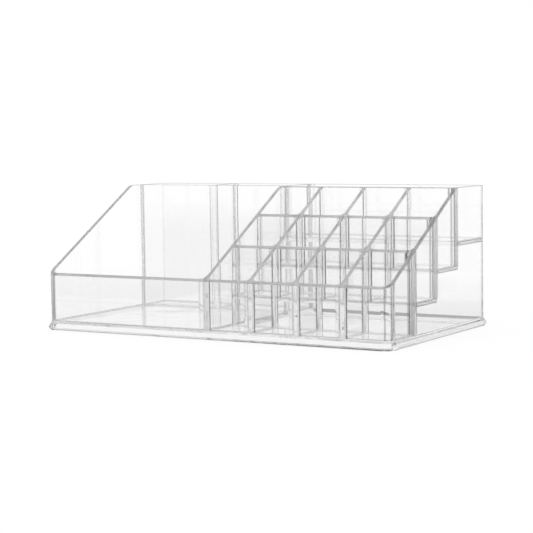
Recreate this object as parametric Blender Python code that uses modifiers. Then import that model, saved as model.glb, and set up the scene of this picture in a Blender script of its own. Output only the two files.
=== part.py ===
"""Clear vanity organizer: an open tray, two tall rear pockets, twelve slots in three steps and a
long compartment behind the slots.

The organizer is clear plastic, made here as panels with a bond line between neighbours.
Metres, +Z up, +X to the right and +Y to the back seen from the front. The origin lies on the
surface that the foot stands on, under the middle of the body.
"""

import math

import bmesh
import bpy

# Walls and bond lines
WALL = 0.0022
BOND_GAP = 0.0003

# Body, over the outer faces of its walls and from the foot's underside
BODY_WIDTH = 0.2200
BODY_DEPTH = 0.1212
BODY_HEIGHT = 0.0800
FRONT_HEIGHT = 0.0317
FRONT_INNER_RADIUS = 0.0034
BACK_INNER_RADIUS = 0.0008

# Foot rim, which bulges out under the walls
FOOT_OVERHANG = 0.0020
FOOT_BAND = 0.0008

# Slots: clear width, clear depth of the front and of the next two rows, and each row's rise
SLOT_WIDTH = 0.0256
SLOT_COLUMNS = 4
FRONT_ROW_DEPTH = 0.0264
STEP_ROW_DEPTH = 0.0252
BASE_FLOOR_TOP = 0.0050
ROW_2_RISE = 0.0165
ROW_3_RISE = 0.0154
ROW_4_RISE = 0.0131

# Rear pockets behind the open tray, from front to back
POCKET_DEPTH = 0.0238

# How finely corners turn, how far a cutter runs past what it cuts, and how close points are welded
ARC_STEPS = 6
CUT_OVERRUN = 0.0050
WELD_DISTANCE = 0.00001

# Clear plastic: colourless with polished faces
PLASTIC_COLOUR = (0.96, 0.965, 0.97, 1.0)
PLASTIC_ROUGHNESS = 0.02
PLASTIC_METALLIC = 0.0
PLASTIC_IOR = 1.49
PLASTIC_TRANSMISSION = 1.0
VIEWPORT_ALPHA = 0.35

# Faces of the outer walls
left_face = -BODY_WIDTH / 2
right_face = BODY_WIDTH / 2
front_face = -BODY_DEPTH / 2
back_face = BODY_DEPTH / 2
left_inside = left_face + WALL
right_inside = right_face - WALL
front_inside = front_face + WALL
back_inside = back_face - WALL
front_outer_radius = FRONT_INNER_RADIUS + WALL
back_outer_radius = BACK_INNER_RADIUS + WALL
front_fitted_radius = FRONT_INNER_RADIUS - BOND_GAP
back_fitted_radius = BACK_INNER_RADIUS - BOND_GAP

# Heights of the foot, the floors and what stands on them
foot_height = 2 * FOOT_OVERHANG + FOOT_BAND
wall_bottom = foot_height + BOND_GAP
floor_tops = [BASE_FLOOR_TOP]
for rise in (ROW_2_RISE, ROW_3_RISE, ROW_4_RISE):
    floor_tops.append(floor_tops[-1] + rise)
slot_rows = len(floor_tops)

# Grid of the slots: left faces of the upright panels, front faces of the walls across
column_pitch = SLOT_WIDTH + WALL
divider_faces = [right_inside - (SLOT_COLUMNS - column) * column_pitch for column in range(SLOT_COLUMNS)]
section_face = divider_faces[0]
section_right = section_face + WALL
row_pitch = STEP_ROW_DEPTH + WALL
first_tier_face = front_inside + FRONT_ROW_DEPTH
tier_faces = [front_face] + [first_tier_face + row * row_pitch for row in range(slot_rows - 1)]
slant_end = tier_faces[-1]
pocket_face = back_inside - POCKET_DEPTH - WALL


def make_collection(name):
    """Add a collection to the scene."""
    collection = bpy.data.collections.new(name)
    bpy.context.scene.collection.children.link(collection)
    return collection


def clear_plastic(name):
    """Colourless polished plastic that light passes through."""
    material = bpy.data.materials.new(name + "_plastic")
    material.use_nodes = True
    material.diffuse_color = PLASTIC_COLOUR[:3] + (VIEWPORT_ALPHA,)
    shader = material.node_tree.nodes["Principled BSDF"]
    shader.inputs["Base Color"].default_value = PLASTIC_COLOUR
    shader.inputs["Roughness"].default_value = PLASTIC_ROUGHNESS
    shader.inputs["Metallic"].default_value = PLASTIC_METALLIC
    shader.inputs["IOR"].default_value = PLASTIC_IOR
    shader.inputs["Transmission Weight"].default_value = PLASTIC_TRANSMISSION
    return material


def rounded_outline(corners):
    """Points of a closed outline whose corners, given as x, y and radius, turn on arcs."""
    points = []
    for index, (x, y, radius) in enumerate(corners):
        if radius == 0:
            points.append((x, y))
            continue
        before = corners[index - 1]
        after = corners[(index + 1) % len(corners)]
        angle_in = math.atan2(before[1] - y, before[0] - x)
        angle_out = math.atan2(after[1] - y, after[0] - x)
        opening = math.remainder(angle_out - angle_in, math.tau)
        middle = angle_in + opening / 2
        reach = radius / abs(math.sin(opening / 2))
        centre_x = x + reach * math.cos(middle)
        centre_y = y + reach * math.sin(middle)
        sweep = math.copysign(math.pi, opening) - opening
        for step in range(ARC_STEPS + 1):
            angle = middle + math.pi - sweep * (step / ARC_STEPS - 1 / 2)
            points.append((centre_x + radius * math.cos(angle), centre_y + radius * math.sin(angle)))
    return points


def prism(name, outline, low, high, along, collection):
    """Solid of a flat outline, extruded between two places along the X or the Z axis."""
    curve = bpy.data.curves.new(name, "CURVE")
    curve.dimensions = "2D"
    curve.fill_mode = "BOTH"
    curve.extrude = (high - low) / 2
    spline = curve.splines.new("POLY")
    spline.points.add(len(outline) - 1)
    for point, (first, second) in zip(spline.points, outline):
        point.co = (first, second, 0, 1)
    spline.use_cyclic_u = True
    solid = bpy.data.objects.new(name, curve)
    middle = (low + high) / 2
    if along == "X":
        solid.rotation_euler = (math.radians(90), 0, math.radians(90))
        solid.location = (middle, 0, 0)
    else:
        solid.location = (0, 0, middle)
    collection.objects.link(solid)
    return solid


def as_mesh(solid):
    """Turn an extruded outline into a welded mesh object of the same name and place."""
    name = solid.name
    collection = solid.users_collection[0]
    bpy.context.view_layer.update()
    evaluated = solid.evaluated_get(bpy.context.evaluated_depsgraph_get())
    mesh = bpy.data.meshes.new_from_object(evaluated)
    shape = bmesh.new()
    shape.from_mesh(mesh)
    bmesh.ops.remove_doubles(shape, verts=shape.verts, dist=WELD_DISTANCE)
    bmesh.ops.recalc_face_normals(shape, faces=shape.faces)
    shape.to_mesh(mesh)
    shape.free()
    place = solid.matrix_world.copy()
    bpy.data.objects.remove(solid)
    result = bpy.data.objects.new(name, mesh)
    result.matrix_world = place
    collection.objects.link(result)
    return result


def cut_away(solid, cutter):
    """Take a cutter's space out of a mesh object."""
    cutter.hide_render = True
    cutter.display_type = "WIRE"
    cut = solid.modifiers.new("cut_" + cutter.name, "BOOLEAN")
    cut.operation = "DIFFERENCE"
    cut.solver = "EXACT"
    cut.object = cutter


def finish(solid):
    """Give a piece its own plastic."""
    solid.data.materials.clear()
    solid.data.materials.append(clear_plastic(solid.name))


def top_height(depth):
    """Height of the body's top: a straight slant to the last row of slots, then level."""
    slant_share = (depth - front_face) / (slant_end - front_face)
    return FRONT_HEIGHT + (BODY_HEIGHT - FRONT_HEIGHT) * min(slant_share, 1)


def upright(name, x_span, y_span, bottom):
    """Standing panel whose top follows the body's top, made as a side outline carried along X."""
    front, back = y_span
    outline = [(front, top_height(front)), (front, bottom), (back, bottom), (back, top_height(back))]
    if front < slant_end < back:
        outline.append((slant_end, BODY_HEIGHT))
    finish(prism(name, outline, x_span[0], x_span[1], "X", parts))


def bent_wall_outline(face, inside, end, inner_radius):
    """Plan of an outer wall with both upright corners: straight run, arcs and short returns."""
    outer_radius = inner_radius + WALL
    return rounded_outline([
        (left_face, end, 0),
        (left_face, face, outer_radius),
        (right_face, face, outer_radius),
        (right_face, end, 0),
        (right_inside, end, 0),
        (right_inside, inside, inner_radius),
        (left_inside, inside, inner_radius),
        (left_inside, end, 0),
    ])


def body_outline(outset):
    """Plan of the whole body, moved out by an outset and rounded at its four corners."""
    front_radius = front_outer_radius + outset
    back_radius = back_outer_radius + outset
    return rounded_outline([
        (left_face - outset, front_face - outset, front_radius),
        (right_face + outset, front_face - outset, front_radius),
        (right_face + outset, back_face + outset, back_radius),
        (left_face - outset, back_face + outset, back_radius),
    ])


def make_foot_rim():
    """Ring under the walls, bulging out and back in, open inside and flat underneath."""
    rim = as_mesh(prism("foot_rim", body_outline(FOOT_OVERHANG), 0, foot_height, "Z", parts))
    flare = rim.modifiers.new("flare", "BEVEL")
    flare.width = FOOT_OVERHANG
    flare.segments = 1
    flare.limit_method = "ANGLE"
    flare.angle_limit = math.radians(45)
    hollow = prism("rim_hollow", body_outline(-WALL), -CUT_OVERRUN, foot_height + CUT_OVERRUN, "Z", cutters)
    cut_away(rim, as_mesh(hollow))
    finish(rim)


def make_base_floor():
    """Floor of the tray, the pockets and the front row, cut away under the raised rows."""
    left = left_inside + BOND_GAP
    right = right_inside - BOND_GAP
    front = front_inside + BOND_GAP
    back = back_inside - BOND_GAP
    row_back = tier_faces[1] + WALL
    outline = rounded_outline([
        (left, front, front_fitted_radius),
        (right, front, front_fitted_radius),
        (right, row_back, 0),
        (section_right, row_back, 0),
        (section_right, back, 0),
        (left, back, back_fitted_radius),
    ])
    finish(prism("base_floor", outline, BASE_FLOOR_TOP - WALL, BASE_FLOOR_TOP, "Z", parts))


def make_outer_walls():
    """Front wall, back wall with their rounded corners, and the two side walls between them."""
    front_end = front_face + front_outer_radius
    back_end = back_face - back_outer_radius

    back_plan = bent_wall_outline(back_face, back_inside, back_end, BACK_INNER_RADIUS)
    finish(prism("back_wall", back_plan, wall_bottom, BODY_HEIGHT, "Z", parts))

    front_plan = bent_wall_outline(front_face, front_inside, front_end, FRONT_INNER_RADIUS)
    front_top = top_height(front_end) + CUT_OVERRUN
    front_wall = as_mesh(prism("front_wall", front_plan, wall_bottom, front_top, "Z", parts))
    cut_front = front_face - CUT_OVERRUN
    cut_back = front_end + CUT_OVERRUN
    above_slant = [
        (cut_front, top_height(cut_front)),
        (cut_back, top_height(cut_back)),
        (cut_back, top_height(cut_back) + CUT_OVERRUN),
        (cut_front, top_height(cut_back) + CUT_OVERRUN),
    ]
    slant = prism("slant", above_slant, left_face - CUT_OVERRUN, right_face + CUT_OVERRUN, "X", cutters)
    cut_away(front_wall, as_mesh(slant))
    finish(front_wall)

    side_span = (front_end + BOND_GAP, back_end - BOND_GAP)
    upright("left_side_wall", (left_face, left_inside), side_span, wall_bottom)
    upright("right_side_wall", (right_inside, right_face), side_span, wall_bottom)


def make_tray_section():
    """Divider between tray and slots, and the two panels that make the rear pockets."""
    bottom = BASE_FLOOR_TOP + BOND_GAP
    inner_span = (front_inside + BOND_GAP, back_inside - BOND_GAP)
    upright("section_divider", (section_face, section_right), inner_span, bottom)

    tray_span = (left_inside + BOND_GAP, section_face - BOND_GAP)
    upright("pocket_wall", tray_span, (pocket_face, pocket_face + WALL), bottom)

    tray_middle = (left_inside + section_face) / 2
    middle_span = (tray_middle - WALL / 2, tray_middle + WALL / 2)
    pocket_span = (pocket_face + WALL + BOND_GAP, back_inside - BOND_GAP)
    upright("pocket_divider", middle_span, pocket_span, bottom)


def make_slot_section():
    """Stepped slots: a wall and a floor for each raised row, and dividers in every row but the last."""
    across = (section_right + BOND_GAP, right_inside - BOND_GAP)
    for row in range(1, slot_rows):
        face = tier_faces[row]
        number = str(row + 1)
        upright("tier_wall_" + number, across, (face, face + WALL), floor_tops[row - 1] + BOND_GAP)
        front = face + WALL + BOND_GAP
        last = row == slot_rows - 1
        back = back_inside - BOND_GAP if last else tier_faces[row + 1] + WALL
        outline = rounded_outline([
            (across[0], front, 0),
            (across[1], front, 0),
            (across[1], back, back_fitted_radius if last else 0),
            (across[0], back, 0),
        ])
        finish(prism("tier_floor_" + number, outline, floor_tops[row] - WALL, floor_tops[row], "Z", parts))

    for row in range(slot_rows - 1):
        span = (tier_faces[row] + WALL + BOND_GAP, tier_faces[row + 1] - BOND_GAP)
        for column in range(1, SLOT_COLUMNS):
            face = divider_faces[column]
            name = "slot_divider_row_" + str(row + 1) + "_" + str(column)
            upright(name, (face, face + WALL), span, floor_tops[row] + BOND_GAP)


for leftover in list(bpy.data.objects):
    bpy.data.objects.remove(leftover)
parts = make_collection("storage_organizer")
cutters = make_collection("cutters")
make_foot_rim()
make_base_floor()
make_outer_walls()
make_tray_section()
make_slot_section()
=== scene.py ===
"""Looks of the clear vanity organizer: an open tray, two tall rear pockets, twelve slots in rising rows
and a long rear compartment."""

import math

import bmesh
import bpy
import numpy as np
from mathutils import Matrix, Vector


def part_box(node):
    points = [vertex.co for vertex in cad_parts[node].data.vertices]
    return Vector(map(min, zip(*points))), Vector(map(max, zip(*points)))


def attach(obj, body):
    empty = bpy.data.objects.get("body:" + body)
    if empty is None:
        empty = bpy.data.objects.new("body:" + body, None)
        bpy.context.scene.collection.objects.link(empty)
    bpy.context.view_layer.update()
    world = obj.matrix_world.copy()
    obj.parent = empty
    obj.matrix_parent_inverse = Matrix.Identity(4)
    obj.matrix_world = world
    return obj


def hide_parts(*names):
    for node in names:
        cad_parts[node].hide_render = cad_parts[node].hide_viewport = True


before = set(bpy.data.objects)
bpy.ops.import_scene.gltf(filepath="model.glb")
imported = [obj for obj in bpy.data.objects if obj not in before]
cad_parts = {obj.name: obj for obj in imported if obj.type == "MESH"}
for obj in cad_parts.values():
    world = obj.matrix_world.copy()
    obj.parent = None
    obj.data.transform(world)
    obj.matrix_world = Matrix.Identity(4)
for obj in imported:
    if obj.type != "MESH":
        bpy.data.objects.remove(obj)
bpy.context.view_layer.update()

# Camera
# The organizer is seen from its front right, a little above its top edge and from almost a metre away,
# with a long lens, so that its upright edges stay close to parallel.
CAMERA_PLACE = (0.47459, -0.79364, 0.11556)
CAMERA_AZIMUTH = math.radians(30.813)
CAMERA_ELEVATION = math.radians(4.981)
CAMERA_ROLL = math.radians(0.857)
CAMERA_LENS = 109.43
CAMERA_NEAR = 0.01
CAMERA_FAR = 60


def camera_turn(azimuth, elevation, roll):
    """Axes of a camera as columns: right and up, turned by the roll about the line of sight, and back."""
    back = np.array([
        math.sin(azimuth) * math.cos(elevation),
        -math.cos(azimuth) * math.cos(elevation),
        math.sin(elevation),
    ])
    level_right = np.array([math.cos(azimuth), math.sin(azimuth), 0])
    level_up = np.cross(back, level_right)
    right = level_right * math.cos(roll) - level_up * math.sin(roll)
    up = level_right * math.sin(roll) + level_up * math.cos(roll)
    return np.column_stack([right, up, back])


camera_data = bpy.data.cameras.new("camera")
camera_data.lens = CAMERA_LENS
camera_data.clip_start = CAMERA_NEAR
camera_data.clip_end = CAMERA_FAR
camera = bpy.data.objects.new("camera", camera_data)
turn = camera_turn(CAMERA_AZIMUTH, CAMERA_ELEVATION, CAMERA_ROLL)
camera.matrix_world = Matrix.Translation(CAMERA_PLACE) @ Matrix(turn.tolist()).to_4x4()
bpy.context.scene.collection.objects.link(camera)
bpy.context.scene.camera = camera

# Floor and light
# A plain white floor in a white studio. In what the plastic reflects once, the floor in front of the
# organizer and the ceiling are darker, which is what draws the edges of clear plastic.
FLOOR_REACH = 12
WHITE = (1, 1, 1, 1)
FLOOR_COLOUR = (0.16, 0.16, 0.16, 1)
FLOOR_ROUGHNESS = 1
FLOOR_GLOSS = 0
FLOOR_OWN_LIGHT = 0.85
FLOOR_DARK = (0.25, 0.25, 0.25, 1)
APRON_STARTS = -0.06
APRON_ENDS = -0.45
NEAR_FADE = 0.42
FAR_FADE = 0.85
CEILING_DARK = (0.8, 0.8, 0.8, 1)
BRIGHT_UP_TO = math.radians(15)
DARK_FROM = math.radians(40)
REFLECTIONS = 1
REFLECTIONS_MARGIN = 0.5
LIGHT_BOUNCES = 64


def after_reflection(tree, plain, dark, amount):
    """Colour that a ray finds: plain straight on, through the plastic or after being guided along inside it,
    and faded to dark by an amount where the plastic reflected it just once."""
    path = tree.nodes.new("ShaderNodeLightPath")
    once = tree.nodes.new("ShaderNodeMath")
    once.operation = "COMPARE"
    once.inputs[1].default_value = REFLECTIONS
    once.inputs[2].default_value = REFLECTIONS_MARGIN
    faded = tree.nodes.new("ShaderNodeMath")
    faded.operation = "MULTIPLY"
    colour = tree.nodes.new("ShaderNodeMix")
    colour.data_type = "RGBA"
    colour.inputs["A"].default_value = plain
    colour.inputs["B"].default_value = dark
    tree.links.new(path.outputs["Glossy Depth"], once.inputs[0])
    tree.links.new(once.outputs["Value"], faded.inputs[0])
    tree.links.new(amount, faded.inputs[1])
    tree.links.new(faded.outputs["Value"], colour.inputs["Factor"])
    return colour.outputs["Result"]


def fade_along(tree, coordinates, axis, start, end):
    """Value that rises smoothly from 0 to 1 between two places along an axis."""
    parts = tree.nodes.new("ShaderNodeSeparateXYZ")
    fade = tree.nodes.new("ShaderNodeMapRange")
    fade.interpolation_type = "SMOOTHSTEP"
    fade.inputs["From Min"].default_value = start
    fade.inputs["From Max"].default_value = end
    tree.links.new(coordinates, parts.inputs["Vector"])
    tree.links.new(parts.outputs[axis], fade.inputs["Value"])
    return fade.outputs["Result"]


def white_floor(name):
    """White that is mostly the floor's own, with a diffuse part that keeps a faint shadow. Its own light is
    dark only in what the plastic reflects, by the product of two fades: one rises towards the organizer's
    front, and the other falls away further out."""
    material = bpy.data.materials.new(name)
    material.use_nodes = True
    tree = material.node_tree
    diffuse = tree.nodes["Principled BSDF"]
    diffuse.inputs["Base Color"].default_value = FLOOR_COLOUR
    diffuse.inputs["Roughness"].default_value = FLOOR_ROUGHNESS
    diffuse.inputs["Specular IOR Level"].default_value = FLOOR_GLOSS
    place = tree.nodes.new("ShaderNodeTexCoord")
    starts = fade_along(tree, place.outputs["Object"], "Y", APRON_STARTS + NEAR_FADE, APRON_STARTS)
    ends = fade_along(tree, place.outputs["Object"], "Y", APRON_ENDS - FAR_FADE, APRON_ENDS)
    apron = tree.nodes.new("ShaderNodeMath")
    apron.operation = "MULTIPLY"
    tree.links.new(starts, apron.inputs[0])
    tree.links.new(ends, apron.inputs[1])
    amount = apron.outputs["Value"]
    own_light = tree.nodes.new("ShaderNodeEmission")
    own_light.inputs["Strength"].default_value = FLOOR_OWN_LIGHT
    both = tree.nodes.new("ShaderNodeAddShader")
    tree.links.new(after_reflection(tree, WHITE, FLOOR_DARK, amount), own_light.inputs["Color"])
    tree.links.new(diffuse.outputs["BSDF"], both.inputs[0])
    tree.links.new(own_light.outputs["Emission"], both.inputs[1])
    tree.links.new(both.outputs["Shader"], tree.nodes["Material Output"].inputs["Surface"])
    return material


def studio_world(name):
    """White all round, with a ceiling that is dark only in what the plastic reflects."""
    world = bpy.data.worlds.new(name)
    world.use_nodes = True
    tree = world.node_tree
    direction = tree.nodes.new("ShaderNodeTexCoord")
    bright_up_to, dark_from = math.sin(BRIGHT_UP_TO), math.sin(DARK_FROM)
    amount = fade_along(tree, direction.outputs["Generated"], "Z", bright_up_to, dark_from)
    colour = after_reflection(tree, WHITE, CEILING_DARK, amount)
    tree.links.new(colour, tree.nodes["Background"].inputs["Color"])
    return world


floor_mesh = bpy.data.meshes.new("floor")
floor_corners = [(-1, -1), (1, -1), (1, 1), (-1, 1)]
floor_points = [(x * FLOOR_REACH, y * FLOOR_REACH, 0) for x, y in floor_corners]
floor_mesh.from_pydata(floor_points, [], [(0, 1, 2, 3)])
floor_mesh.materials.append(white_floor("white_floor"))
floor = bpy.data.objects.new("floor", floor_mesh)
bpy.context.scene.collection.objects.link(floor)
bpy.context.scene.world = studio_world("studio")
bpy.context.scene.view_settings.view_transform = "Standard"
bpy.context.scene.cycles.max_bounces = LIGHT_BOUNCES
bpy.context.scene.cycles.glossy_bounces = LIGHT_BOUNCES
bpy.context.scene.cycles.transmission_bounces = LIGHT_BOUNCES
bpy.context.scene.cycles.transparent_max_bounces = LIGHT_BOUNCES

# Side walls
# Two upright panels of clear, colourless plastic, moulded in one with the front wall and the back wall.
# Their tops slope up from the front and are level over the rear, with the crest eased where they meet.
RAISED_ROWS = (2, 3, 4)
left_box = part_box("left_side_wall")
right_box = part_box("right_side_wall")
front_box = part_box("front_wall")
back_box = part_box("back_wall")
foot_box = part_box("foot_rim")
tier_boxes = [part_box(f"tier_wall_{row}") for row in RAISED_ROWS]
WALL = left_box[1].x - left_box[0].x
CREST_RADIUS = 0.009
CREST_STEPS = 6
EDGE_RADIUS = 0.0003
EDGE_STEPS = 3
WELD = 0.00003
SAME_POINT = 0.000001
SAME_PLACE_DIGITS = 7
SHARP_ANGLE = math.radians(35)
ARC_STEPS = 8
QUARTER_TURN = np.linspace(0, math.pi / 2, ARC_STEPS + 1)
LINE_TURN = math.radians(26)
LINE_WIDTH = 0.001
LINE_EDGE = 0.0001
POINT_VALUES = 5
PLASTIC_COLOUR = (1, 1, 1, 1)
PLASTIC_ROUGHNESS = 0.0
PLASTIC_IOR = 1.56
PLASTIC_TRANSMISSION = 1
PLASTIC_LOSS = 2
LOST_COLOUR = (0, 0, 0, 1)
# Painted shade: the rims' grey stands in for the dim light refraction brings in; their roughness is real.
RIM_SHADE_COLOUR = (0.38, 0.38, 0.38, 1)
RIM_ROUGHNESS = 0.3
SCUFF_SCALE = 600
SCUFF_DETAIL = 2
SCUFF_SMOOTH = 0.8
SCUFF_DULL = 1.2
FLOW_SCALE = 35
FLOW_DETAIL = 1
FLOW_STRENGTH = 0.3
FLOW_HEIGHT = 0.0004
# Painted shade: the colour of the thin dark lines where faces turn and inner corners curve.
LINE_SHADE_COLOUR = (0.03, 0.03, 0.03, 1)
SHADOW_SHARE = (0.92, 0.92, 0.92, 1)

left_inside = left_box[1].x
right_inside = right_box[0].x
front_face = front_box[0].y
back_face = back_box[1].y
front_inside = front_face + WALL
back_inside = back_face - WALL
body_top_level = back_box[1].z
slope = (tier_boxes[1][1].z - tier_boxes[0][1].z) / (tier_boxes[1][1].y - tier_boxes[0][1].y)
lean = math.atan(slope)
crest_y = tier_boxes[1][1].y + (body_top_level - tier_boxes[1][1].z) / slope
crest_depth = CREST_RADIUS * math.sin(lean)
wall_foot = foot_box[1].z


def body_top(y):
    """Height of the body's top at depth y: a straight slope, an arc that is tangent to both, then level."""
    arc_end = crest_y + CREST_RADIUS * math.tan(lean / 2)
    sloped = body_top_level + slope * (y - crest_y)
    into_arc = np.clip(arc_end - y, 0, crest_depth)
    eased = body_top_level - CREST_RADIUS + np.sqrt(CREST_RADIUS ** 2 - into_arc ** 2)
    return np.where(y < arc_end - crest_depth, sloped, eased)


def upright_section():
    """Loop round a standing panel's section, with a quarter circle at each upper edge. Its points have a
    side, a distance in from the face, the top or the bottom, a distance from that, and whether they are on
    the rim."""
    turn = np.linspace(0, math.pi / 2, EDGE_STEPS + 1)
    inset = EDGE_RADIUS * (1 - np.cos(turn))
    drop = EDGE_RADIUS * (1 - np.sin(turn))
    side = np.concatenate([[-1, 1], np.full(len(turn), 1), np.full(len(turn), -1)])
    inward = np.concatenate([[0, 0], inset, inset[::-1]])
    at_top = np.concatenate([[0, 0], np.ones(2 * len(turn))])
    away = np.concatenate([[0, 0], drop, drop[::-1]])
    rim = np.where(away < EDGE_RADIUS, at_top, 0)
    return side, inward, at_top, away, rim


def standing_panel(centres, across, half_widths, bottom, lines, far_end_line=0):
    """Grid of points: the section loop carried along the panel's plan, its half width growing where it
    flares. The half widths and the strengths of the painted dark shade lines have a column for each side,
    and each point ends with its rim and line values, which are nothing on the two end faces. The far end
    face may be darkened all over with painted shade."""
    side, inward, at_top, away, rim = upright_section()
    column = np.where(side > 0, 1, 0)
    offsets = side * (half_widths[:, column] - inward)
    plan = centres[:, None, :] + offsets[..., None] * across[:, None, :]
    top = body_top(plan[..., 1]) - away
    heights = np.where(at_top > 0, top, bottom)
    inner = np.ones((len(centres), 1))
    inner[[0, -1]] = 0
    line = lines[:, column] * (1 - rim) * inner
    line[-1] = far_end_line
    return np.dstack([plan, heights, rim * inner, line])


def closed_body(name, grids, rings=False):
    """One mesh of closed bodies. Each grid's second direction closes on itself, and its first has flat ends,
    or closes too where the bodies are rings. A point's values are its place, its rim value and its line
    value, and those that a grid leaves out are nothing."""
    points = []
    faces = []
    start = 0
    for grid in grids:
        rows, columns = grid.shape[:2]
        index = start + np.arange(rows * columns).reshape(rows, columns)
        looped = np.vstack([index, index[:1]]) if rings else index
        beside = np.roll(looped, -1, axis=1)
        quads = np.stack([looped[:-1], beside[:-1], beside[1:], looped[1:]], axis=-1).reshape(-1, 4)
        faces += quads.tolist()
        if not rings:
            faces += [index[0, ::-1].tolist(), index[-1].tolist()]
        values = np.zeros((rows * columns, POINT_VALUES))
        values[:, :grid.shape[2]] = grid.reshape(rows * columns, -1)
        points.append(values)
        start += rows * columns
    points = np.vstack(points)
    mesh = bpy.data.meshes.new(name)
    mesh.from_pydata(points[:, :3].tolist(), [], faces)
    # The rim value places the rims' dullness and painted grey shade, the line value the painted dark lines.
    mesh.attributes.new("rim", "FLOAT", "POINT").data.foreach_set("value", points[:, 3])
    mesh.attributes.new("line", "FLOAT", "POINT").data.foreach_set("value", points[:, 4])
    return mesh


def shaded(tree, colour, attribute):
    """Mix from its first colour, left to be set, to a given one by the value of a mesh attribute."""
    value = tree.nodes.new("ShaderNodeAttribute")
    value.attribute_name = attribute
    mix = tree.nodes.new("ShaderNodeMix")
    mix.data_type = "RGBA"
    tree.links.new(value.outputs["Fac"], mix.inputs["Factor"])
    mix.inputs["B"].default_value = colour
    return mix


def clear_plastic(name):
    """Colourless polished plastic: it bends light, takes a little of it by depth and casts only a faint
    shadow. Its faces are a little wavy from the moulding. Its rims are unevenly dull and carry painted grey
    shade, and thin dark lines of painted shade run where its faces turn sharply. Both stand in for what
    refraction through rounded rims and inner corners does to light."""
    material = bpy.data.materials.new(name)
    material.use_nodes = True
    tree = material.node_tree
    nodes = tree.nodes
    links = tree.links
    shader = nodes["Principled BSDF"]
    rim_shade = shaded(tree, RIM_SHADE_COLOUR, "rim")
    rim_shade.inputs["A"].default_value = PLASTIC_COLOUR
    line_shade = shaded(tree, LINE_SHADE_COLOUR, "line")
    links.new(rim_shade.outputs["Result"], line_shade.inputs["A"])
    links.new(line_shade.outputs["Result"], shader.inputs["Base Color"])
    rim = nodes.new("ShaderNodeAttribute")
    rim.attribute_name = "rim"
    dullness = nodes.new("ShaderNodeMapRange")
    dullness.inputs["To Min"].default_value = PLASTIC_ROUGHNESS
    dullness.inputs["To Max"].default_value = RIM_ROUGHNESS
    links.new(rim.outputs["Fac"], dullness.inputs["Value"])
    place = nodes.new("ShaderNodeTexCoord")
    scuffs = nodes.new("ShaderNodeTexNoise")
    scuffs.inputs["Scale"].default_value = SCUFF_SCALE
    scuffs.inputs["Detail"].default_value = SCUFF_DETAIL
    links.new(place.outputs["Object"], scuffs.inputs["Vector"])
    scuffing = nodes.new("ShaderNodeMapRange")
    scuffing.inputs["To Min"].default_value = SCUFF_SMOOTH
    scuffing.inputs["To Max"].default_value = SCUFF_DULL
    links.new(scuffs.outputs["Fac"], scuffing.inputs["Value"])
    uneven = nodes.new("ShaderNodeMath")
    uneven.operation = "MULTIPLY"
    links.new(dullness.outputs["Result"], uneven.inputs[0])
    links.new(scuffing.outputs["Result"], uneven.inputs[1])
    links.new(uneven.outputs["Value"], shader.inputs["Roughness"])
    flow = nodes.new("ShaderNodeTexNoise")
    flow.inputs["Scale"].default_value = FLOW_SCALE
    flow.inputs["Detail"].default_value = FLOW_DETAIL
    links.new(place.outputs["Object"], flow.inputs["Vector"])
    waviness = nodes.new("ShaderNodeBump")
    waviness.inputs["Strength"].default_value = FLOW_STRENGTH
    waviness.inputs["Distance"].default_value = FLOW_HEIGHT
    links.new(flow.outputs["Fac"], waviness.inputs["Height"])
    links.new(waviness.outputs["Normal"], shader.inputs["Normal"])
    shader.inputs["IOR"].default_value = PLASTIC_IOR
    shader.inputs["Transmission Weight"].default_value = PLASTIC_TRANSMISSION
    depth = nodes.new("ShaderNodeVolumeAbsorption")
    depth.inputs["Color"].default_value = LOST_COLOUR
    depth.inputs["Density"].default_value = PLASTIC_LOSS
    path = nodes.new("ShaderNodeLightPath")
    in_shadow = nodes.new("ShaderNodeBsdfTransparent")
    in_shadow.inputs["Color"].default_value = SHADOW_SHARE
    mix = nodes.new("ShaderNodeMixShader")
    links.new(path.outputs["Is Shadow Ray"], mix.inputs["Fac"])
    links.new(shader.outputs["BSDF"], mix.inputs[1])
    links.new(in_shadow.outputs["BSDF"], mix.inputs[2])
    links.new(mix.outputs["Shader"], nodes["Material Output"].inputs["Surface"])
    links.new(depth.outputs["Volume"], nodes["Material Output"].inputs["Volume"])
    return material


def fit_piece(mesh, node):
    """Weld and smooth a mesh, give it its plastic and put it in the place of a node of the frame."""
    shape = bmesh.new()
    shape.from_mesh(mesh)
    bmesh.ops.remove_doubles(shape, verts=shape.verts, dist=SAME_POINT)
    bmesh.ops.recalc_face_normals(shape, faces=shape.faces)
    shape.to_mesh(mesh)
    shape.free()
    mesh.shade_smooth()
    mesh.set_sharp_from_angle(angle=SHARP_ANGLE)
    mesh.materials.append(clear_plastic(mesh.name + "_plastic"))
    piece = bpy.data.objects.new(mesh.name, mesh)
    bpy.context.scene.collection.objects.link(piece)
    flat_faces = piece.modifiers.new("flat_faces", "WEIGHTED_NORMAL")
    flat_faces.keep_sharp = True
    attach(piece, "root")
    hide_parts(node)


def run_stations(start, end, flares):
    """Places along a straight run: its ends and its middle, the steps of each flare's quarter circle, and
    where the dark line past each flare stops and where it is gone."""
    places = [start - WELD, (start + end) / 2, end + WELD]
    for at_start, at_end in flares:
        places += (start + at_start[0] * (1 - np.cos(QUARTER_TURN))).tolist()
        places += (end - at_end[0] * (1 - np.cos(QUARTER_TURN))).tolist()
        for past in (LINE_WIDTH, LINE_WIDTH + LINE_EDGE):
            places += [start + at_start[0] + past, end - at_end[0] - past]
    return np.unique(np.round(places, SAME_PLACE_DIGITS))


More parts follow.
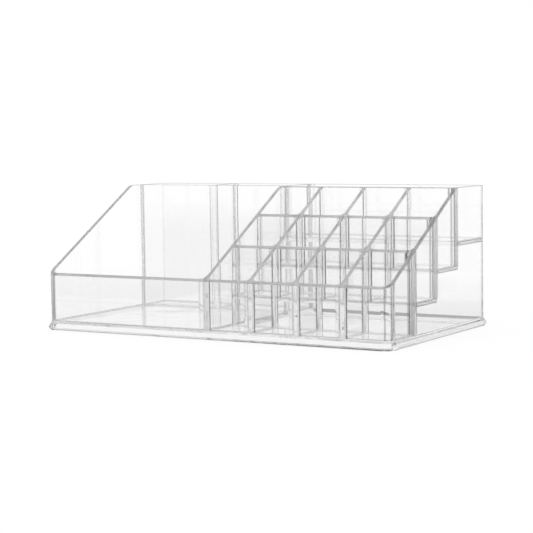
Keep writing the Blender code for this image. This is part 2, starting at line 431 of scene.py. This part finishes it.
def flared_end(distance, flare):
    """Swell of a panel's face at a distance from its neighbour: the radius less the height of a quarter
    circle that leaves the neighbour's face and meets the panel's own. A line of painted dark shade runs
    where it leaves the one, and another just past where it meets the other."""
    radius, line_at_neighbour, line_at_panel = flare
    if radius == 0:
        return 0 * distance, 0 * distance
    into = np.clip(radius - distance, 0, radius)
    turn = np.arccos(into / radius)
    at_neighbour = np.clip(2 - 2 * turn / LINE_TURN, 0, 1)
    past = distance - radius
    at_panel = (past > -LINE_EDGE / 2) & (past < LINE_WIDTH + LINE_EDGE / 2)
    line = line_at_neighbour * at_neighbour + line_at_panel * at_panel
    return radius - np.sqrt(radius ** 2 - into ** 2), line


def flared_faces(places, start, end, flares):
    """Swell and line strength of both faces of a panel, from the flares of each face's start and end."""
    swells = []
    lines = []
    for at_start, at_end in flares:
        start_swell, start_line = flared_end(places - start, at_start)
        end_swell, end_line = flared_end(end - places, at_end)
        swells.append(start_swell + end_swell)
        lines.append(start_line + end_line)
    return np.column_stack(swells), np.column_stack(lines)


# A flare is its radius, then the strengths of its painted dark shade lines at the neighbour and at the
# panel's own face.
NO_FLARE = (0, 0, 0)
NO_FLARES = ((NO_FLARE, NO_FLARE), (NO_FLARE, NO_FLARE))


def panel_along_y(x_middle, y_start, y_end, bottom, flares=NO_FLARES):
    """Standing panel that runs from front to back, with places of its own along the crest. Its flares are
    given for its left face and its right face."""
    places = run_stations(y_start, y_end, flares)
    crest = crest_y + np.linspace(-0.5, 0.5, CREST_STEPS + 1) * crest_depth
    crest = crest[(crest > y_start + WELD) & (crest < y_end - WELD)]
    places = np.sort(np.concatenate([places, crest]))
    swell, lines = flared_faces(places, y_start, y_end, flares)
    centres = np.column_stack([np.full(len(places), x_middle), places])
    across = np.tile([1.0, 0.0], (len(places), 1))
    return standing_panel(centres, across, WALL / 2 + swell, bottom, lines)


def panel_along_x(y_middle, x_start, x_end, bottom, flares=NO_FLARES, right_end_line=0):
    """Standing panel that runs from left to right. Its flares are given for its front face and its back
    face, and the end face on the right may be darkened with painted shade."""
    places = run_stations(x_start, x_end, flares)
    swell, lines = flared_faces(places, x_start, x_end, flares)
    centres = np.column_stack([places, np.full(len(places), y_middle)])
    across = np.tile([0.0, 1.0], (len(places), 1))
    return standing_panel(centres, across, WALL / 2 + swell, bottom, lines, right_end_line)


for node, box in (("left_side_wall", left_box), ("right_side_wall", right_box)):
    x_middle = (box[0].x + box[1].x) / 2
    grid = panel_along_y(x_middle, front_box[1].y, back_box[0].y, wall_foot - WELD)
    fit_piece(closed_body(node + "_panel", [grid]), node)

# Front wall and back wall
# Two upright panels of the same clear plastic, each moulded round both of its upright corners, which are
# large at the front and tight at the back. They close the body between the side walls.


def bent_wall(face, end, bottom, corner_lines):
    """Grid of a wall that runs across the body with both corners turned: its plan is a straight line with a
    quarter circle at each end, and the section is carried along it. Lines of painted dark shade run down the
    inside and the outside of the right corner, with a strength for each step of its turn from the wall's
    straight part."""
    outer = abs(end - face)
    middle = outer - WALL / 2
    inwards = 1 if end > face else -1
    centre_y = face + inwards * outer
    left_centre = left_box[0].x + outer
    right_centre = right_box[1].x - outer
    sine = np.sin(QUARTER_TURN)
    cosine = np.cos(QUARTER_TURN)
    left = np.column_stack([left_centre - middle * cosine, centre_y - inwards * middle * sine])
    right = np.column_stack([right_centre + middle * sine, centre_y - inwards * middle * cosine])
    left_across = np.column_stack([-cosine, -inwards * sine])
    right_across = np.column_stack([sine, -inwards * cosine])
    into_side = np.array([[0, inwards * WELD]])
    centres = np.vstack([left[:1] + into_side, left, right, right[-1:] + into_side])
    across = np.vstack([left_across[:1], left_across, right_across, right_across[-1:]])
    lines = np.zeros((len(centres), 2))
    lines[-len(QUARTER_TURN) - 1:-1] = np.column_stack(corner_lines)
    return standing_panel(centres, across, np.full((len(centres), 2), WALL / 2), bottom, lines)


NO_LINES = (0,) * (ARC_STEPS + 1)
# Strengths of the painted dark shade lines round each wall's right corner, for each of its two faces.
FRONT_CORNER_LINES = ((0, 0, 0.9, 0, 0, 0, 0.3, 0.95, 0), NO_LINES)
BACK_CORNER_LINES = ((0, 0.3, 0.3, 0.3, 0.6, 0.9, 0.9, 0.9, 0), (0, 0, 0, 0, 0.95, 0.95, 0.95, 0.8, 0))
front_wall = bent_wall(front_face, front_box[1].y, wall_foot - WELD, FRONT_CORNER_LINES)
fit_piece(closed_body("front_wall_panel", [front_wall]), "front_wall")
back_wall = bent_wall(back_face, back_box[0].y, wall_foot - WELD, BACK_CORNER_LINES)
fit_piece(closed_body("back_wall_panel", [back_wall]), "back_wall")

# Foot rim
# A ring of the same clear plastic, moulded under the four walls. It bulges out to a blunt edge and back
# in, is open inside, and is what the organizer stands on.
# Painted shadow: the dark line along the foot's lower edge, weaker at the back, and the darker underside at
# the back stand in for the contact shadow where the foot meets the floor.
FOOT_EDGE_RADIUS = 0.0003
FOOT_EDGE_SHADOW_LINE = 1
FOOT_EDGE_WIDTH = 0.0006
UNDERSIDE_SHADOW_LINE = 0.3
REAR_EDGE_SHARE = 0.2
FOOT_UNDERCUT = 0.0014
LEAST_RADIUS = 0.00001


def rounded_outline(low, high, radii, grow=0):
    """Closed outline of a rectangle, moved out by grow, with a quarter circle at each corner. The corners
    and their radii run from the front left one to the right."""
    points = []
    signs = [(-1, -1), (1, -1), (1, 1), (-1, 1)]
    for corner, (sign_x, sign_y) in enumerate(signs):
        radius = max(radii[corner] + grow, LEAST_RADIUS)
        centre_x = (high[0] + grow - radius) if sign_x > 0 else (low[0] - grow + radius)
        centre_y = (high[1] + grow - radius) if sign_y > 0 else (low[1] - grow + radius)
        angle = QUARTER_TURN + math.pi * (1 + corner / 2)
        x = centre_x + radius * np.cos(angle)
        y = centre_y + radius * np.sin(angle)
        points.append(np.column_stack([x, y]))
    return np.vstack(points)


def ring_body(low, high, radii, profile):
    """Grid of a closed ring: a profile of distances out from the outline, heights and line strengths, carried
    round it."""
    columns = []
    for out, height, line in profile:
        ring = rounded_outline(low, high, radii, out)
        columns.append(np.column_stack([ring, np.tile([height, 0, line], (len(ring), 1))]))
    return np.stack(columns, axis=1)


body_low = (left_box[0].x, front_face)
body_high = (right_box[1].x, back_face)
front_radius = front_box[1].y - front_face
back_radius = back_face - back_box[0].y
body_radii = [front_radius, front_radius, back_radius, back_radius]
overhang = body_low[0] - foot_box[0].x
foot_top = foot_box[1].z
foot_in = overhang - FOOT_UNDERCUT
soft = FOOT_EDGE_RADIUS
foot_profile = [
    (-WALL, LINE_EDGE, 0),
    (-WALL, 0, UNDERSIDE_SHADOW_LINE),
    (foot_in, 0, UNDERSIDE_SHADOW_LINE),
    (foot_in, 0, FOOT_EDGE_SHADOW_LINE),
    (foot_in + FOOT_EDGE_WIDTH, FOOT_EDGE_WIDTH, FOOT_EDGE_SHADOW_LINE),
    (foot_in + FOOT_EDGE_WIDTH + LINE_EDGE, FOOT_EDGE_WIDTH + LINE_EDGE, 0),
    (overhang - soft / 2, FOOT_UNDERCUT - soft / 2, 0),
    (overhang, FOOT_UNDERCUT + soft / 2, 0),
    (overhang - soft / 4, FOOT_UNDERCUT + 2 * soft, 0),
    (0, foot_top, 0),
    (-WALL, foot_top, 0),
]
underside = slice(1, 3)
lower_edge = slice(3, 5)
foot_ring = ring_body(body_low, body_high, body_radii, foot_profile)
at_back = foot_ring[:, :, 1] > back_inside - WELD
foot_lines = foot_ring[:, :, 4]
foot_lines[:, underside] *= at_back[:, underside]
foot_lines[:, lower_edge] *= np.where(at_back[:, lower_edge], REAR_EDGE_SHARE, 1)
fit_piece(closed_body("foot_rim_ring", [foot_ring], rings=True), "foot_rim")

# Base floor
# One flat plate of the same clear plastic under the tray, the two rear pockets and the front row of slots.
# It is moulded in one with the panels that stand on it, with a small cove round each compartment.
FLARE = 0.0024
WIDE_FLARE = front_radius - WALL
TIGHT_CORNER = back_radius - WALL
COVE = 0.0009
COVE_SHADE_LINE = 0.2
SLOT_DIVIDERS = (1, 2, 3)
base_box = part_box("base_floor")
divider_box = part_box("section_divider")
pocket_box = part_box("pocket_wall")
pocket_divider_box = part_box("pocket_divider")
front_row_boxes = [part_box(f"slot_divider_row_1_{number}") for number in SLOT_DIVIDERS]
base_top = base_box[1].z
base_under = base_box[0].z
section_left = divider_box[0].x
section_right = divider_box[1].x
slot_lefts = [section_right] + [box[1].x for box in front_row_boxes]
slot_rights = [box[0].x for box in front_row_boxes] + [right_inside]


def cove_ring(low, high, radii, floor_top):
    """Grid of the concave strip round a compartment: a quarter circle from the wall's face down to the floor.
    Its line of painted dark shade is strongest half way down."""
    profile = [(WELD, floor_top - WELD, 0), (WELD, floor_top + COVE, 0)]
    for turn in QUARTER_TURN:
        line = COVE_SHADE_LINE * math.sin(2 * turn) ** 2
        profile.append((-COVE * (1 - math.cos(turn)), floor_top + COVE * (1 - math.sin(turn)), line))
    profile.append((-COVE, floor_top - WELD, 0))
    return ring_body(low, high, radii, profile)


def plate(outline, under, top):
    """Grid of a flat plate: its outline at the underside and again at the top."""
    levels = [np.column_stack([outline, np.full(len(outline), z)]) for z in (under, top)]
    return np.stack(levels)


# The plate fills the body but for the place of the raised rows, so its back right corner is a notch.
row_back = tier_boxes[0][1].y
whole = rounded_outline(
    (left_inside - WELD, front_inside - WELD),
    (right_inside + WELD, back_inside + WELD),
    [WIDE_FLARE, WIDE_FLARE, TIGHT_CORNER, TIGHT_CORNER],
)
corner_points = len(QUARTER_TURN)
notch = np.array([
    (right_inside + WELD, row_back),
    (section_right, row_back),
    (section_right, back_inside + WELD),
])
base_outline = np.vstack([whole[:2 * corner_points], notch, whole[3 * corner_points:]])
tray_low = (left_inside, front_inside)
left_pocket_low = (left_inside, pocket_box[1].y)
left_pocket_high = (pocket_divider_box[0].x, back_inside)
right_pocket_low = (pocket_divider_box[1].x, pocket_box[1].y)
base_cells = [
    (tray_low, (section_left, pocket_box[0].y), [WIDE_FLARE, WIDE_FLARE, FLARE, FLARE]),
    (left_pocket_low, left_pocket_high, [FLARE, FLARE, FLARE, TIGHT_CORNER]),
    (right_pocket_low, (section_left, back_inside), [FLARE, FLARE, FLARE, FLARE]),
]
for column, (slot_left, slot_right) in enumerate(zip(slot_lefts, slot_rights)):
    slot_radii = [
        WIDE_FLARE if column == 0 else FLARE,
        WIDE_FLARE if column == len(slot_lefts) - 1 else FLARE,
        FLARE,
        FLARE,
    ]
    base_cells.append(((slot_left, front_inside), (slot_right, tier_boxes[0][0].y), slot_radii))
base_plate = closed_body("base_floor_plate", [plate(base_outline, base_under, base_top)])
base_coves = closed_body("base_floor_coves", [cove_ring(*cell, base_top) for cell in base_cells], rings=True)


def joined(name, meshes):
    """One mesh that holds the closed bodies of several."""
    shape = bmesh.new()
    for mesh in meshes:
        shape.from_mesh(mesh)
        bpy.data.meshes.remove(mesh)
    result = bpy.data.meshes.new(name)
    shape.to_mesh(result)
    shape.free()
    return result


fit_piece(joined("base_floor_dish", [base_plate, base_coves]), "base_floor")

# Section divider
# The full-depth panel of clear plastic between the tray and the slots, moulded in one with the base floor.
# It flares where it meets the front wall and the back wall, as the moulding's inner corners are rounded.
divider_middle = (section_left + section_right) / 2
divider_flares = (
    ((WIDE_FLARE, 0.1, 0.5), (FLARE, 0.3, 0.9)),
    ((0.0020, 1, 0.2), (FLARE, 0.3, 0.5)),
)
divider_grid = panel_along_y(divider_middle, front_inside, back_inside, base_top - WELD, divider_flares)
fit_piece(closed_body("section_divider_panel", [divider_grid]), "section_divider")

# Rear pockets
# A tall panel of clear plastic across the tray, and a short one behind it that parts the two pockets.
# Both are moulded in one with the base floor and flare at both ends.
pocket_middle = (pocket_box[0].y + pocket_box[1].y) / 2
pocket_flares = (
    ((0.0010, 0.6, 0.5), (FLARE, 0.3, 0.6)),
    ((0.0006, 0.2, 0), (FLARE, 0.3, 0.6)),
)
pocket_grid = panel_along_x(pocket_middle, left_inside, section_left, base_top - WELD, pocket_flares)
fit_piece(closed_body("pocket_wall_panel", [pocket_grid]), "pocket_wall")
middle_x = (pocket_divider_box[0].x + pocket_divider_box[1].x) / 2
middle_flares = (
    ((0.0015, 0.8, 0.8), (0.0010, 0.2, 0.5)),
    ((0.0021, 0.8, 0), (0.0016, 1, 0.3)),
)
middle_grid = panel_along_y(middle_x, pocket_box[1].y, back_inside, base_top - WELD, middle_flares)
fit_piece(closed_body("pocket_divider_panel", [middle_grid]), "pocket_divider")

# Tier walls
# Three panels of clear plastic across the slots, one in front of each raised row. Each is moulded in one
# with the floor that it stands on and the floor behind it, and its top lies along the slope.
# Painted shade: each tier wall's right end face is darkened all over, and the line strengths in the flares
# below are painted dark lines.
TIER_END_SHADE = 0.5
TIER_LEFT_FLARES = (
    ((0.0012, 1, 0.3), (0.0020, 0, 0.6)),
    ((0.0012, 1, 0.3), (0.0012, 0.2, 0.3)),
    ((FLARE, 0.1, 0.6), (0.0004, 0, 0.4)),
)
TIER_FRONT_RIGHT = (FLARE, 0.5, 0.8)
TIER_BACK_RIGHTS = ((0.0020, 0.7, 1), (0.0012, 0.7, 1), (0.0004, 0.7, 1))
tier_floor_boxes = [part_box(f"tier_floor_{row}") for row in RAISED_ROWS]
floor_tops = [base_top] + [box[1].z for box in tier_floor_boxes]
for number, (row, box) in enumerate(zip(RAISED_ROWS, tier_boxes)):
    y_middle = (box[0].y + box[1].y) / 2
    front_left, back_left = TIER_LEFT_FLARES[number]
    tier_flares = ((front_left, TIER_FRONT_RIGHT), (back_left, TIER_BACK_RIGHTS[number]))
    bottom = floor_tops[number] - WELD
    grid = panel_along_x(y_middle, section_right, right_inside, bottom, tier_flares, TIER_END_SHADE)
    fit_piece(closed_body(f"tier_wall_{row}_panel", [grid]), f"tier_wall_{row}")

# Tier floors
# The raised floors of the three rear rows, of the same clear plastic and moulded in one with the walls in
# front of them and behind them. Each has a cove round its compartments: four slots, or one long space.
HEEL_RADIUS = 0.0015
TINY = 0.00005
# Painted shade: strength and width of the dark line round each slab's right end face.
SLAB_LINE = 0.9
SLAB_LINE_WIDTH = 0.00035


def slab_along_x(start, end, low, high, heel, flares):
    """Grid of a slab that runs from left to right: its section in depth and height is a rectangle with one
    rounded corner at the lower back. The section is shorter at its front and its back by the swell of the
    flares that it meets there, and a line of painted dark shade runs round its right end face just inside
    the edge."""
    places = np.union1d(run_stations(start, end, flares), end + WELD - LINE_EDGE)
    shorter = flared_faces(places, start, end, flares)[0]
    lines = SLAB_LINE * np.clip(1 - (places[-1] - places) / LINE_EDGE, 0, 1)
    levels = [(x, front, back, 0, line) for x, (front, back), line in zip(places, shorter, lines)]
    x, front, back, _, line = levels[-1]
    levels.append((x, front, back, SLAB_LINE_WIDTH, line))
    levels.append((x, front, back, SLAB_LINE_WIDTH + LINE_EDGE, 0))
    loops = []
    for x, front, back, inset, line in levels:
        corners = (low[0] + front, low[1]), (high[0] - back, high[1])
        outline = rounded_outline(*corners, [TINY, heel, TINY, TINY], -inset)
        values = np.tile([0, line], (len(outline), 1))
        loops.append(np.column_stack([np.full(len(outline), x), outline, values]))
    return np.stack(loops)


for number, (row, box) in enumerate(zip(RAISED_ROWS, tier_floor_boxes)):
    last = row == RAISED_ROWS[-1]
    front = tier_boxes[number][1].y
    behind = back_inside if last else tier_boxes[number + 1][0].y
    far = back_inside + WELD if last else tier_boxes[number + 1][1].y
    heel = TINY if last else HEEL_RADIUS
    at_front = (TIER_LEFT_FLARES[number][1], TIER_BACK_RIGHTS[number])
    at_back = (divider_flares[1][1], (TIGHT_CORNER, 0, 0)) if last else (NO_FLARE, NO_FLARE)
    section = ((front - WELD, box[0].z), (far, box[1].z))
    slab = slab_along_x(section_right, right_inside, *section, heel, (at_front, at_back))
    flat = closed_body("flat", [slab])
    if last:
        cells = [((section_right, front), (right_inside, behind), [FLARE, FLARE, TIGHT_CORNER, FLARE])]
    else:
        columns = zip(slot_lefts, slot_rights)
        cells = [((left, front), (right, behind), [FLARE, FLARE, FLARE, FLARE]) for left, right in columns]
    coves = closed_body("coves", [cove_ring(*cell, box[1].z) for cell in cells], rings=True)
    fit_piece(joined(f"tier_floor_{row}_dish", [flat, coves]), f"tier_floor_{row}")

# Slot dividers
# Three short panels of clear plastic in each of the three front rows, moulded in one with the floor under
# them. They flare where they meet the walls across.
SLOT_FRONT_LEFT = (FLARE, 0.15, 0.5)
SLOT_REAR_LEFT = (FLARE, 0.3, 1)
SLOT_FRONT_RIGHT = (FLARE, 1, 0.3)
SLOT_REAR_RIGHT = (0.0012, 1, 0)
row_starts = [front_inside] + [box[1].y for box in tier_boxes[:-1]]
row_ends = [box[0].y for box in tier_boxes]
for row, (row_start, row_end) in enumerate(zip(row_starts, row_ends)):
    last = row == len(row_starts) - 1
    slot_flares = (
        (SLOT_FRONT_LEFT, SLOT_REAR_LEFT),
        (SLOT_FRONT_RIGHT, NO_FLARE if last else SLOT_REAR_RIGHT),
    )
    for column, number in enumerate(SLOT_DIVIDERS):
        node = f"slot_divider_row_{row + 1}_{number}"
        x_middle = (slot_rights[column] + slot_lefts[column + 1]) / 2
        grid = panel_along_y(x_middle, row_start, row_end, floor_tops[row] - WELD, slot_flares)
        fit_piece(closed_body(node + "_panel", [grid]), node)
